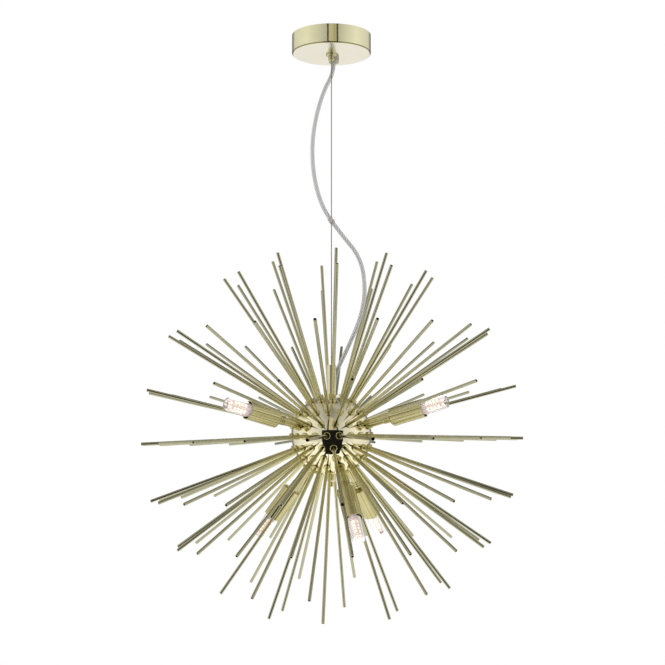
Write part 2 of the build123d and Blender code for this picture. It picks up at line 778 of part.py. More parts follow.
def lamp_cup_form():
    """Return one lamp cup, with its base at the end of the arm."""
    with BuildPart() as cup:
        with BuildSketch(Plane.XY.offset(arm_end)):
            Circle(cup_radius)
        extrude(amount=cup_length)
        chamfer(cup.edges().group_by(Axis.Z)[0], cup_chamfer)
        with BuildSketch(Plane.XY.offset(arm_end + cup_base)):
            Circle(cup_radius - cup_wall - cup_chamfer)
        with BuildSketch(Plane.XY.offset(arm_end + cup_base + cup_chamfer)):
            Circle(cup_radius - cup_wall)
        loft(mode=Mode.SUBTRACT)
        with BuildSketch(Plane.XY.offset(arm_end + cup_base + cup_chamfer)):
            Circle(cup_radius - cup_wall)
        extrude(amount=cup_length, mode=Mode.SUBTRACT)
        with BuildSketch(Plane.XY.offset(arm_end)):
            Circle(arm_radius + running_gap)
        extrude(amount=cup_base, mode=Mode.SUBTRACT)
    return cup.part


def lampholder_form():
    """Return one ceramic lampholder, screwed on the arm's end inside the cup."""
    with BuildPart() as holder:
        with BuildSketch(Plane.XY.offset(holder_foot)):
            Circle(holder_radius)
        extrude(amount=holder_length)
        chamfer(holder.edges().group_by(Axis.Z)[-1], 1.0)
        with BuildSketch(Plane.XY.offset(holder_foot)):
            Circle(arm_radius + running_gap)
        extrude(amount=stud_into_holder + cup_base + seat_gap, mode=Mode.SUBTRACT)
        with BuildSketch(Plane.XY.offset(holder_top)):
            SlotOverall(holder_slot_length, holder_slot_width)
        extrude(amount=-holder_slot_depth, mode=Mode.SUBTRACT)
    return holder.part


def bulb_form():
    """Return one capsule bulb: base, two pins, light core and clear envelope."""
    core_height = lamp_reach - bulb_shoulder - bulb_core_clearance
    with BuildPart() as base:
        with BuildSketch(Plane.XY.offset(bulb_foot)):
            Circle(bulb_radius)
        extrude(amount=bulb_base_length)
        fillet(base.edges().group_by(Axis.Z)[0], 1.5)
        with BuildSketch(Plane.XY.offset(bulb_foot)):
            with Locations((-pin_spacing / 2, 0), (pin_spacing / 2, 0)):
                Rectangle(pin_width, pin_thickness)
        extrude(amount=-pin_length)
        with BuildSketch(Plane.XY.offset(bulb_shoulder)):
            Rectangle(bulb_core_width, bulb_core_width)
        extrude(amount=core_height)
    with BuildPart() as envelope:
        with BuildSketch(Plane.XY.offset(bulb_shoulder)):
            Circle(bulb_radius)
        with BuildSketch(Plane.XY.offset(lamp_reach)):
            Circle(bulb_end_radius)
        loft()
        fillet(envelope.edges().group_by(Axis.Z)[-1], bulb_round)
        foot = envelope.faces().sort_by(Axis.Z)[0]
        offset(amount=-bulb_glass, openings=foot)
    return Compound(children=[base.part, envelope.part])


def make_lamps():
    """Place the six lamps' pieces on the ball."""
    forms = {"lamp_arm": lamp_arm_form(), "lamp_cup": lamp_cup_form(), "bulb": bulb_form()}
    for number, place in enumerate(lamp_places, start=1):
        for kind, form in forms.items():
            save(radial_plane(place).location * form, f"{kind}_{number}")
    holder = lampholder_form()
    with BuildPart() as lampholders:
        with Locations(*[radial_plane(place).location for place in lamp_places]):
            add(holder)
    save(lampholders.part, "lampholders")
    inner_radius = ball_radius - ball_wall
    nut_seat = sqrt(inner_radius**2 - (arm_nut_flats / sqrt(3)) ** 2) - running_gap
    with BuildPart() as arm_nuts:
        with BuildSketch(*[radial_plane(place, nut_seat - arm_nut_height) for place in lamp_places]):
            RegularPolygon(arm_nut_flats / 2, 6, major_radius=False)
            Circle(arm_radius + running_gap, mode=Mode.SUBTRACT)
        extrude(amount=arm_nut_height)
    save(arm_nuts.part, "arm_nuts")


make_ceiling_bracket()
make_bracket_coupler()
make_canopy_cup()
gripper_chamber = make_gripper_body()
balls_top = make_gripper_plunger(gripper_chamber[0])
make_gripper_spring(balls_top + seat_gap, gripper_chamber[1] - seat_gap)
make_cord_gland()
make_terminal_block()
make_wires()
make_cord_stretches()
make_cable_clip()
make_ball_shells()
make_hanger()
make_tie_and_finial()
make_ball_wiring()
make_rods()
make_lamps()
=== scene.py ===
"""Sputnik chandelier: looks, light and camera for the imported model.

Everything is in metres in the model's own frame: the origin is on the ceiling plane at
the middle of the canopy, +Z is up and -Y is towards the viewer.
"""
import json
from math import cos, pi, radians, sin

import bmesh
import bpy
from mathutils import Matrix, Vector


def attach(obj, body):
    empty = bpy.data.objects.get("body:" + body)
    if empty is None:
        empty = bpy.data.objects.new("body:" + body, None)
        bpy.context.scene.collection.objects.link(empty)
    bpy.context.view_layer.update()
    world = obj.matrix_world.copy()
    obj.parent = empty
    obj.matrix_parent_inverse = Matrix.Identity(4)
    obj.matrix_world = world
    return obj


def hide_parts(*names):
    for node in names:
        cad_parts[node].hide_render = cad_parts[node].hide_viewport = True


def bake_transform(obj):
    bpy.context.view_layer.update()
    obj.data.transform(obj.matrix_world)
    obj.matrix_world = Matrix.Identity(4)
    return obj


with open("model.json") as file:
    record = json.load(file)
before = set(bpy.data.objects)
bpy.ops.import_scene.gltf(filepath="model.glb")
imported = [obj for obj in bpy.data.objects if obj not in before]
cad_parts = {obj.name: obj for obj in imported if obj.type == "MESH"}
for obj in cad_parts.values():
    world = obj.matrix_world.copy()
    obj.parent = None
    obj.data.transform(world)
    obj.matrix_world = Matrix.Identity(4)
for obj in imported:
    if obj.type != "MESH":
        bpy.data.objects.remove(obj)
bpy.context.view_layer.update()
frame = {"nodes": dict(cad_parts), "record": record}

# ---------------------------------------------------------------- sizes
PICTURE_SIDE = 665  # pixels
BALL_DROP = 0.646
BALL_CENTRE = Vector((0, 0, -BALL_DROP))
RING_LEAN = radians(0.9)  # how far the burst leans to one side

# Camera: how far it stands from the wire, how far below the ball's middle, and its aim
CAMERA_DISTANCE = 2.113
CAMERA_ASIDE = 0.0017
CAMERA_BELOW_BALL = 0.029
CAMERA_PITCH = radians(5.177)
FOCAL_PIXELS = 1333.5
SENSOR_WIDTH = 36.0

CANOPY_HEIGHT = 0.031
CORD_DIAMETER = 0.0065

# Lamps: the places of the six axes on the ball, as latitude and azimuth in degrees
LAMP_RINGS = [(13.8, 65.9), (-52.7, 18.8)]
LAMP_PLACES = [
    (latitude, first + turn) for latitude, first in LAMP_RINGS for turn in (0, 120, 240)
]
BULB_FOOT = 0.13425  # from the middle of the ball
BULB_BASE_LENGTH = 0.010
BULB_SHOULDER = BULB_FOOT + BULB_BASE_LENGTH
BULB_END = 0.201
BULB_RADIUS = 0.012
BULB_END_RADIUS = 0.0102
BULB_ROUND = 0.005
BULB_GLASS = 0.001
PIN_LENGTH = 0.007
PIN_SPACING = 0.0066
NECK_RADIUS = 0.0098
NECK_END = 0.1665
CORE_WIDTH = 0.0126
CORE_END = 0.1925
CHIP_ROWS = 4
CHIP_PITCH = 0.0058
CHIP_COLUMN = 0.0041  # from the middle of a face to a column of chips
FIRST_CHIP = 0.1690
CHIP_SIZE = (0.0020, 0.0017, 0.0008)  # half lengths
CHIP_SINK = 0.0001  # how deep a chip's middle lies in the post
END_CHIP_ASIDE = 0.0032  # from the post's axis to a chip on its end
CORE_OVERLAP = 0.001  # how far the post reaches into the neck
CORE_BEVEL = 0.0008
BASE_ROUND = 0.0015
SEAT_GAP = 0.0002  # between the base and the envelope
PIN_WIDTH = 0.0024
PIN_HALF_THICKNESS = 0.0007
PIN_SINK = 0.0005  # how far a pin reaches into the base

# Studio: light of the room, and its brightness in reflections by angle from the viewer
ROOM_LIGHT = 0.75
OVERHEAD_BRIGHTNESS = 0.5
STUDIO_STOPS = [
    (0, 0.5),
    (18, 0.58),
    (40, 0.78),
    (75, 1.0),
    (110, 0.9),
    (135, 0.8),
    (150, 0.28),
    (168, 0.2),
    (174, 1.0),
    (180, 1.0),
]
FLOOR_HEIGHT = -2.9
FLOOR_RADIUS = 7.0
FLOOR_GLOW = 0.35

# Finishes: sizes of their patterns
GRAIN_SCALE = 900.0
ROD_STREAKS = 900
# Share of noise in the rods' painted shade towards their tips
CLOUD_IN_TIP_SHADE = 0.3
WIRE_STRANDS = 6
WIRE_WINDING = 3200  # radians to the metre
BRAID_STRANDS = 5
BRAID_WINDING = 1500  # radians to the metre
FOLD_REFLECTION_HEIGHT = 0.003
UNDERSIDE_HEIGHT = 0.0004
UNDERSIDE_SATIN = 0.14

# The cord's route, from the gland to the clip and from the clip into the ball
UPPER_ROUTE = [
    (0.0040, 0.0220, -0.0330),
    (0.0040, 0.0220, -0.0540),
    (-0.0125, 0.0190, -0.0850),
    (-0.0260, 0.0140, -0.1325),
    (-0.0320, 0.0095, -0.1830),
    (-0.0280, 0.0065, -0.2355),
    (-0.01411, 0.0052, -0.28338),
    (0.0, 0.0052, -0.3028),
]
LOWER_ROUTE = [
    (0.0, 0.0052, -0.3028),
    (0.01763, 0.0052, -0.32707),
    (0.0460, 0.0065, -0.3610),
    (0.0550, 0.0070, -0.4085),
    (0.0480, 0.0060, -0.4580),
    (0.0230, 0.0065, -0.5145),
    (0.0032, 0.0119, -0.5540),
    (0.0032, 0.0119, -0.5960),
]


def lean(point):
    """Return a direction as it lies once the burst leans to its side."""
    return Matrix.Rotation(-RING_LEAN, 3, "Y") @ point


def place_on_ball(latitude, azimuth):
    """Return the direction of a place on the ball, given in degrees."""
    level = cos(radians(latitude))
    turn = radians(azimuth)
    return lean(Vector((level * sin(turn), -level * cos(turn), sin(radians(latitude)))))


def lamp_matrix(latitude, azimuth):
    """Return the matrix that stands a piece built along +Z on a lamp's axis."""
    outward = place_on_ball(latitude, azimuth)
    along_ring = lean(Vector((cos(radians(azimuth)), sin(radians(azimuth)), 0)))
    across = outward.cross(along_ring)
    axes = Matrix((along_ring, across, outward)).transposed()
    return Matrix.Translation(BALL_CENTRE) @ axes.to_4x4()


# ---------------------------------------------------------------- camera
def make_camera():
    """Make the camera that sees the part as the photograph does."""
    camera = bpy.data.cameras.new("camera")
    camera.sensor_width = SENSOR_WIDTH
    camera.sensor_fit = "HORIZONTAL"
    camera.lens = SENSOR_WIDTH * FOCAL_PIXELS / PICTURE_SIDE
    camera.clip_end = 100
    obj = bpy.data.objects.new("camera", camera)
    obj.location = (CAMERA_ASIDE, -CAMERA_DISTANCE, -BALL_DROP - CAMERA_BELOW_BALL)
    obj.rotation_euler = (pi / 2 + CAMERA_PITCH, 0, 0)
    bpy.context.collection.objects.link(obj)
    bpy.context.scene.camera = obj


# ---------------------------------------------------------------- mesh helpers
def new_object(name, mesh):
    """Link a new object that shows a mesh."""
    obj = bpy.data.objects.new(name, mesh)
    bpy.context.collection.objects.link(obj)
    return obj


def mesh_object(name, bm, matrix=None, smooth=True):
    """Turn a bmesh into an object, standing where the matrix puts it."""
    if matrix is not None:
        bm.transform(matrix)
    bmesh.ops.recalc_face_normals(bm, faces=bm.faces)
    mesh = bpy.data.meshes.new(name)
    bm.to_mesh(mesh)
    bm.free()
    if smooth:
        mesh.shade_smooth()
    return new_object(name, mesh)


def lathe(bm, profile, segments=48):
    """Add a closed solid of revolution about Z. The profile's points are (radius, height)."""
    rings = []
    for radius, height in profile:
        if radius == 0:
            rings.append([bm.verts.new((0, 0, height))])
            continue
        turn = [2 * pi * i / segments for i in range(segments)]
        rings.append([bm.verts.new((radius * cos(a), radius * sin(a), height)) for a in turn])
    for low, high in zip(rings, rings[1:]):
        if len(low) == 1 and len(high) == 1:
            continue
        for i in range(segments):
            j = (i + 1) % segments
            lower = [low[i % len(low)], low[j % len(low)]]
            upper = [high[j % len(high)], high[i % len(high)]]
            bm.faces.new(dict.fromkeys([*lower, *upper]))


def arc(centre, radius, start, end, steps):
    """Return the points of an arc in a profile, with its angles in degrees."""
    turns = [radians(start + (end - start) * i / steps) for i in range(steps + 1)]
    return [(centre[0] + radius * cos(turn), centre[1] + radius * sin(turn)) for turn in turns]


def sharpen(obj, angle=35):
    """Keep edges sharper than an angle crisp on a smooth-shaded mesh."""
    bm = bmesh.new()
    bm.from_mesh(obj.data)
    for edge in bm.edges:
        edge.smooth = len(edge.link_faces) == 2 and edge.calc_face_angle() < radians(angle)
    bm.to_mesh(obj.data)
    bm.free()


# ---------------------------------------------------------------- cord
def nurbs_line(name, route):
    """Return the points of the smooth line that a cord follows."""
    curve = bpy.data.curves.new(name, "CURVE")
    curve.dimensions = "3D"
    spline = curve.splines.new("NURBS")
    spline.points.add(len(route) - 1)
    for point, place in zip(spline.points, route):
        point.co = (*place, 1)
    spline.order_u = 3
    spline.use_endpoint_u = True
    spline.resolution_u = 24
    carrier = new_object(name, curve)
    mesh = bpy.data.meshes.new_from_object(carrier)
    line = [vertex.co.copy() for vertex in mesh.vertices]
    bpy.data.objects.remove(carrier)
    return line


def tube_along(name, line, radius, sides=20):
    """Return a tube along a line, with U round it and V along it in metres."""
    bm = bmesh.new()
    uv = bm.loops.layers.uv.new("cord")
    steps = [(b - a).normalized() for a, b in zip(line, line[1:])]
    between = [(a + b).normalized() for a, b in zip(steps, steps[1:])]
    tangents = [steps[0], *between, steps[-1]]
    side = tangents[0].orthogonal().normalized()
    rings, lengths = [], [0.0]
    for i, (point, tangent) in enumerate(zip(line, tangents)):
        side = (side - tangent * side.dot(tangent)).normalized()
        up = tangent.cross(side)
        turns = [2 * pi * k / sides for k in range(sides)]
        rings.append([bm.verts.new(point + radius * (cos(t) * side + sin(t) * up)) for t in turns])
        if i:
            lengths.append(lengths[-1] + (point - line[i - 1]).length)
    for i in range(len(line) - 1):
        for k in range(sides):
            j = (k + 1) % sides
            face = bm.faces.new([rings[i][k], rings[i][j], rings[i + 1][j], rings[i + 1][k]])
            corners = [(k, i), (k + 1, i), (k + 1, i + 1), (k, i + 1)]
            for loop, (around, along) in zip(face.loops, corners):
                loop[uv].uv = (around / sides, lengths[along])
    bm.faces.new(rings[0])
    bm.faces.new(reversed(rings[-1]))
    return mesh_object(name, bm)


def make_cords(material):
    """Make the clear cord's two stretches, which meet in the clip."""
    upper_line = nurbs_line("upper_line", UPPER_ROUTE)
    lower_line = nurbs_line("lower_line", LOWER_ROUTE)
    upper = tube_along("cord_upper", upper_line, CORD_DIAMETER / 2)
    lower = tube_along("cord_lower", lower_line, CORD_DIAMETER / 2)
    for piece in (upper, lower):
        piece.data.materials.append(material)
    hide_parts("cord_upper_length")
    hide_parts("cord_lower_length")
    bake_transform(upper)
    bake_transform(lower)


# ---------------------------------------------------------------- materials
def new_material(name):
    """Return a new material, its nodes, its links and its main shader."""
    material = bpy.data.materials.new(name)
    material.use_nodes = True
    nodes = material.node_tree.nodes
    return material, nodes, material.node_tree.links, nodes["Principled BSDF"]


def add_node(nodes, kind, values=None, **settings):
    """Add a node with its settings, and set the inputs that values names."""
    node = nodes.new(kind)
    for key, value in settings.items():
        setattr(node, key, value)
    for key, value in (values or {}).items():
        node.inputs[key].default_value = value
    return node


def object_point(nodes, links, scale=(1, 1, 1), shift=(0, 0, 0)):
    """Return the socket of the place on the piece, moved and scaled."""
    place = add_node(nodes, "ShaderNodeTexCoord")
    mapping = add_node(nodes, "ShaderNodeMapping", {"Location": shift, "Scale": scale})
    links.new(place.outputs["Object"], mapping.inputs["Vector"])
    return mapping.outputs["Vector"]


def noise(nodes, links, vector, scale, detail=4.0, roughness=0.55):
    """Return the socket of a noise between 0 and 1."""
    values = {"Scale": scale, "Detail": detail, "Roughness": roughness}
    texture = add_node(nodes, "ShaderNodeTexNoise", values)
    links.new(vector, texture.inputs["Vector"])
    return texture.outputs["Fac"]


def spread(nodes, links, factor, low, high, near=0.3, far=0.7):
    """Return the socket of a value that runs from low to high as a factor does."""
    limits = {"From Min": near, "From Max": far, "To Min": low, "To Max": high}
    span = add_node(nodes, "ShaderNodeMapRange", limits)
    links.new(factor, span.inputs["Value"])
    return span.outputs["Result"]


def tint(nodes, links, factor, first, second):
    """Return the socket of a colour between two colours."""
    mix = add_node(nodes, "ShaderNodeMix", data_type="RGBA")
    mix.inputs["A"].default_value = (*first, 1)
    mix.inputs["B"].default_value = (*second, 1)
    links.new(factor, mix.inputs["Factor"])
    return mix.outputs["Result"]


def mottled(nodes, links, cloud, first, second):
    """Return the socket of a colour that a noise moves between two colours."""
    return tint(nodes, links, spread(nodes, links, cloud, 0, 1), first, second)


def bump(nodes, links, height, shader, strength, distance):
    """Drive a shader's normal with a height."""
    node = add_node(nodes, "ShaderNodeBump", {"Strength": strength, "Distance": distance})
    links.new(height, node.inputs["Height"])
    links.new(node.outputs["Normal"], shader.inputs["Normal"])


def polished_metal(name, light, dark, low_roughness, high_roughness, waviness):
    """Plated metal: faint cloudiness in its colour and gloss, and a faint waviness."""
    material, nodes, links, shader = new_material(name)
    shader.inputs["Metallic"].default_value = 1
    place = object_point(nodes, links)
    cloud = noise(nodes, links, place, 18.0)
    grain = noise(nodes, links, place, GRAIN_SCALE, detail=2.0)
    links.new(mottled(nodes, links, cloud, light, dark), shader.inputs["Base Color"])
    gloss = spread(nodes, links, grain, low_roughness, high_roughness)
    links.new(gloss, shader.inputs["Roughness"])
    bump(nodes, links, noise(nodes, links, place, 60.0, detail=1.0), shader, waviness, 0.0004)
    return material


def drawn_tube(name, inner, outer, low_roughness, high_roughness):
    """Drawn tube: fine streaks along each rod, and painted light and shade: brighter and yellower
    near the ball, darker and greyer towards its tip.
    """
    material, nodes, links, shader = new_material(name)
    shader.inputs["Metallic"].default_value = 1
    place = object_point(nodes, links, shift=tuple(-BALL_CENTRE))
    heading = add_node(nodes, "ShaderNodeVectorMath", operation="NORMALIZE")
    links.new(place, heading.inputs[0])
    reach = add_node(nodes, "ShaderNodeVectorMath", operation="LENGTH")
    links.new(place, reach.inputs[0])
    streak_place = add_node(nodes, "ShaderNodeVectorMath", operation="MULTIPLY_ADD")
    links.new(heading.outputs["Vector"], streak_place.inputs[0])
    streak_place.inputs[1].default_value = (ROD_STREAKS,) * 3
    links.new(reach.outputs["Value"], streak_place.inputs[2])
    streak = noise(nodes, links, streak_place.outputs["Vector"], 1.0, detail=3.0)
    # Painted light and shade: the rod's colour is lit near the ball and shaded towards its tip,
    # with noise mixed in.
    painted_tip_shade = spread(nodes, links, reach.outputs["Value"], 0, 1, near=0.07, far=0.24)
    cloud = noise(nodes, links, place, 14.0)
    clouded_tip_shade = add_node(nodes, "ShaderNodeMath", operation="MULTIPLY_ADD", use_clamp=True)
    links.new(cloud, clouded_tip_shade.inputs[0])
    clouded_tip_shade.inputs[1].default_value = CLOUD_IN_TIP_SHADE
    links.new(painted_tip_shade, clouded_tip_shade.inputs[2])
    links.new(tint(nodes, links, clouded_tip_shade.outputs["Value"], inner, outer), shader.inputs["Base Color"])
    gloss = spread(nodes, links, streak, low_roughness, high_roughness)
    links.new(gloss, shader.inputs["Roughness"])
    bump(nodes, links, streak, shader, 0.1, 0.0001)
    return material


def folded_plate(name, wall, underside, painted_fold_reflection, low_roughness, high_roughness):
    """Plated cup: its wall, its paler underside, and a painted dark reflection along the fold
    between them.
    """
    material, nodes, links, shader = new_material(name)
    shader.inputs["Metallic"].default_value = 1
    place = object_point(nodes, links)
    height = add_node(nodes, "ShaderNodeSeparateXYZ")
    links.new(place, height.inputs["Vector"])
    foot = -CANOPY_HEIGHT
    above = height.outputs["Z"]
    below = spread(nodes, links, above, 1, 0, near=foot, far=foot + UNDERSIDE_HEIGHT)
    cloud = noise(nodes, links, place, 18.0)
    plain = add_node(nodes, "ShaderNodeMix", data_type="RGBA")
    links.new(below, plain.inputs["Factor"])
    links.new(mottled(nodes, links, cloud, *wall), plain.inputs["A"])
    links.new(mottled(nodes, links, cloud, *underside), plain.inputs["B"])
    # Painted reflection: a dark line along the fold, in a band just above the foot.
    line = add_node(nodes, "ShaderNodeValToRGB")
    stretch = spread(nodes, links, above, 0, 1, near=foot, far=foot + FOLD_REFLECTION_HEIGHT)
    links.new(stretch, line.inputs["Fac"])
    stops = line.color_ramp.elements
    stops[0].position, stops[0].color = 0.10, (0, 0, 0, 1)
    stops[1].position, stops[1].color = 0.82, (0, 0, 0, 1)
    stops.new(0.22).color = (1, 1, 1, 1)
    stops.new(0.62).color = (1, 1, 1, 1)
    with_fold_reflection = add_node(nodes, "ShaderNodeMix", data_type="RGBA")
    links.new(line.outputs["Color"], with_fold_reflection.inputs["Factor"])
    links.new(plain.outputs["Result"], with_fold_reflection.inputs["A"])
    with_fold_reflection.inputs["B"].default_value = (*painted_fold_reflection, 1)
    links.new(with_fold_reflection.outputs["Result"], shader.inputs["Base Color"])
    grain = noise(nodes, links, place, GRAIN_SCALE, detail=2.0)
    satin = add_node(nodes, "ShaderNodeMath", operation="MULTIPLY_ADD")
    links.new(below, satin.inputs[0])
    satin.inputs[1].default_value = UNDERSIDE_SATIN
    links.new(spread(nodes, links, grain, low_roughness, high_roughness), satin.inputs[2])
    links.new(satin.outputs["Value"], shader.inputs["Roughness"])
    bump(nodes, links, noise(nodes, links, place, 60.0, detail=1.0), shader, 0.04, 0.0004)
    return material


def stranded_wire(name):
    """Steel wire rope: strands that wind round it, with painted shade that darkens the grooves
    between them.
    """
    material, nodes, links, shader = new_material(name)
    shader.inputs["Metallic"].default_value = 1
    place = add_node(nodes, "ShaderNodeTexCoord")
    split_place = add_node(nodes, "ShaderNodeSeparateXYZ")
    links.new(place.outputs["Object"], split_place.inputs["Vector"])
    turn = add_node(nodes, "ShaderNodeMath", operation="ARCTAN2")
    links.new(split_place.outputs["Y"], turn.inputs[0])
    links.new(split_place.outputs["X"], turn.inputs[1])
    strands = add_node(nodes, "ShaderNodeMath", operation="MULTIPLY")
    links.new(turn.outputs["Value"], strands.inputs[0])
    strands.inputs[1].default_value = WIRE_STRANDS
    winding = add_node(nodes, "ShaderNodeMath", operation="MULTIPLY_ADD")
    links.new(split_place.outputs["Z"], winding.inputs[0])
    winding.inputs[1].default_value = WIRE_WINDING
    links.new(strands.outputs["Value"], winding.inputs[2])
    wave = add_node(nodes, "ShaderNodeMath", operation="SINE")
    links.new(winding.outputs["Value"], wave.inputs[0])
    groove = spread(nodes, links, wave.outputs["Value"], 0, 1, near=-1, far=1)
    # Painted shade: the colour darkens from the strands' crests into the grooves.
    steel = tint(nodes, links, groove, (0.10, 0.10, 0.095), (0.42, 0.42, 0.40))
    links.new(steel, shader.inputs["Base Color"])
    shader.inputs["Roughness"].default_value = 0.38
    bump(nodes, links, groove, shader, 0.8, 0.0002)
    return material


def braided_cord(name):
    """Silver braid under a clear sheath: two sets of strands that cross, with painted shade in the
    gaps between them.
    """
    material, nodes, links, shader = new_material(name)
    place = add_node(nodes, "ShaderNodeUVMap", uv_map="cord")
    axes = add_node(nodes, "ShaderNodeSeparateXYZ")
    links.new(place.outputs["UV"], axes.inputs["Vector"])
    waves = []
    for direction in (1, -1):
        around = add_node(nodes, "ShaderNodeMath", operation="MULTIPLY")
        links.new(axes.outputs["X"], around.inputs[0])
        around.inputs[1].default_value = direction * 2 * pi * BRAID_STRANDS
        phase = add_node(nodes, "ShaderNodeMath", operation="MULTIPLY_ADD")
        links.new(axes.outputs["Y"], phase.inputs[0])
        phase.inputs[1].default_value = BRAID_WINDING
        links.new(around.outputs["Value"], phase.inputs[2])
        wave = add_node(nodes, "ShaderNodeMath", operation="SINE")
        links.new(phase.outputs["Value"], wave.inputs[0])
        waves.append(spread(nodes, links, wave.outputs["Value"], 0, 1, near=-1, far=1))
    weave = add_node(nodes, "ShaderNodeMath", operation="MAXIMUM")
    links.new(waves[0], weave.inputs[0])
    links.new(waves[1], weave.inputs[1])
    shade = spread(nodes, links, weave.outputs["Value"], 0, 1, near=0.35, far=0.95)
    # Painted shade: the colour darkens from the strands' crests into the gaps between them.
    silver = tint(nodes, links, shade, (0.22, 0.22, 0.22), (0.72, 0.72, 0.71))
    links.new(silver, shader.inputs["Base Color"])
    shader.inputs["Metallic"].default_value = 0.35
    shader.inputs["Roughness"].default_value = 0.35
    shader.inputs["Coat Weight"].default_value = 1.0
    shader.inputs["Coat Roughness"].default_value = 0.06
    bump(nodes, links, shade, shader, 0.35, 0.0002)
    return material


def moulded(name, light, dark, roughness, texture_scale, depth):
    """Moulded plastic, rubber or glazed ceramic with a fine surface."""
    material, nodes, links, shader = new_material(name)
    place = object_point(nodes, links)
    cloud = noise(nodes, links, place, 40.0)
    links.new(mottled(nodes, links, cloud, light, dark), shader.inputs["Base Color"])
    grain = noise(nodes, links, place, texture_scale, detail=2.0)
    gloss = spread(nodes, links, grain, roughness * 0.8, roughness * 1.2)
    links.new(gloss, shader.inputs["Roughness"])
    bump(nodes, links, grain, shader, 0.3, depth)
    return material


def clear(name, first, second, roughness, refraction, waviness, clearness=1.0):
    """Clear glass or plastic with faint streaks in its tint and surface."""
    material, nodes, links, shader = new_material(name)
    place = object_point(nodes, links)
    cloud = noise(nodes, links, place, 70.0)
    links.new(mottled(nodes, links, cloud, first, second), shader.inputs["Base Color"])
    shader.inputs["Transmission Weight"].default_value = clearness
    shader.inputs["Roughness"].default_value = roughness
    shader.inputs["IOR"].default_value = refraction
    bump(nodes, links, cloud, shader, waviness, 0.0004)
    return material


def glowing(name, colour, edge, strength):
    """A glow with a faint grain, for light chips and for what stands in their light."""
    material, nodes, links, shader = new_material(name)
    place = object_point(nodes, links)
    cloud = noise(nodes, links, place, 400.0)
    glow = mottled(nodes, links, cloud, colour, edge)
    links.new(glow, shader.inputs["Base Color"])
    links.new(glow, shader.inputs["Emission Color"])
    shader.inputs["Emission Strength"].default_value = strength
    shader.inputs["Roughness"].default_value = 0.4
    return material


def woven_sleeve(name):
    """Woven heat sleeve: a fine square weave."""
    material, nodes, links, shader = new_material(name)
    place = object_point(nodes, links)
    weave = add_node(nodes, "ShaderNodeTexBrick", {"Scale": 900.0, "Mortar Size": 0.06})
    links.new(place, weave.inputs["Vector"])
    cloth = tint(nodes, links, weave.outputs["Fac"], (0.78, 0.77, 0.73), (0.5, 0.49, 0.46))
    links.new(cloth, shader.inputs["Base Color"])
    shader.inputs["Roughness"].default_value = 0.85
    bump(nodes, links, weave.outputs["Fac"], shader, 0.4, 0.0002)
    return material


def dress_frame():
    """Give every CAD node its finish, by its slot in the record. Return the finishes."""
    gold_light, gold_dark = (0.60, 0.545, 0.29), (0.50, 0.45, 0.22)
    wall = ((0.79, 0.75, 0.49), (0.73, 0.69, 0.43))
    underside = ((0.80, 0.755, 0.61), (0.76, 0.715, 0.57))
    finishes = {
        "canopy_gold": folded_plate("canopy_plate", wall, underside, (0.24, 0.22, 0.10), 0.06, 0.1),
        "ball_gold": polished_metal(
            "ball_plate", (0.88, 0.82, 0.58), (0.82, 0.76, 0.52), 0.03, 0.07, 0.05
        ),
        "lamp_gold": polished_metal("lamp_plate", gold_light, gold_dark, 0.03, 0.05, 0.01),
        "rod_gold": drawn_tube("rod_tube", (0.70, 0.64, 0.33), (0.42, 0.405, 0.265), 0.08, 0.17),
        "gripper_metal": polished_metal(
            "gripper_plate", (0.60, 0.58, 0.36), (0.50, 0.48, 0.28), 0.15, 0.25, 0.03
        ),
        "inner_steel": polished_metal(
            "zinc_plate", (0.55, 0.56, 0.58), (0.45, 0.46, 0.48), 0.3, 0.45, 0.05
        ),
        "bracket_steel": polished_metal(
            "zinc_sheet", (0.58, 0.59, 0.60), (0.46, 0.47, 0.49), 0.3, 0.5, 0.1
        ),
        "wire_steel": stranded_wire("wire_rope"),
        "clear_cord": braided_cord("braided_cord"),
        "clear_plastic": clear(
            "clear_plastic", (0.74, 0.72, 0.66), (0.66, 0.64, 0.58), 0.35, 1.3, 0.1, 0.55
        ),
        "white_plastic": moulded(
            "white_plastic", (0.80, 0.80, 0.78), (0.74, 0.74, 0.72), 0.4, 1500.0, 0.00005
        ),
        "bush_rubber": moulded(
            "bush_rubber", (0.03, 0.03, 0.03), (0.05, 0.05, 0.05), 0.7, 1200.0, 0.0001
        ),
        "ceramic": moulded(
            "glazed_ceramic", (0.85, 0.83, 0.79), (0.80, 0.78, 0.73), 0.22, 700.0, 0.00005
        ),
        "lead_sleeve": woven_sleeve("woven_sleeve"),
        "bulb_clear": clear("bulb_glass", (0.99, 0.95, 0.94), (0.97, 0.92, 0.91), 0.02, 1.45, 0.15),
    }
    for row in frame["record"]["subparts"]:
        node = frame["nodes"][row["node"]]
        node.data.materials.clear()
        node.data.materials.append(finishes[row["material_slot"]])
    return finishes


# ---------------------------------------------------------------- bulbs
def bulb_envelope(name, matrix):
    """Make a bulb's clear envelope as a thin tapered shell, open where it meets the base."""
    corner_height = BULB_END - BULB_ROUND
    share = (corner_height - BULB_SHOULDER) / (BULB_END - BULB_SHOULDER)
    corner = (BULB_RADIUS + share * (BULB_END_RADIUS - BULB_RADIUS) - BULB_ROUND, corner_height)
    outer = [(BULB_RADIUS, BULB_SHOULDER), *arc(corner, BULB_ROUND, 0, 90, 10), (0, BULB_END)]
    inner_arc = arc(corner, BULB_ROUND - BULB_GLASS, 90, 0, 8)
    inner = [(0, BULB_END - BULB_GLASS), *inner_arc, (BULB_RADIUS - BULB_GLASS, BULB_SHOULDER)]
    bm = bmesh.new()
    lathe(bm, [*outer, *inner, outer[0]])
    bmesh.ops.remove_doubles(bm, verts=bm.verts, dist=1e-6)
    piece = mesh_object(name, bm, matrix)
    sharpen(piece)
    return piece


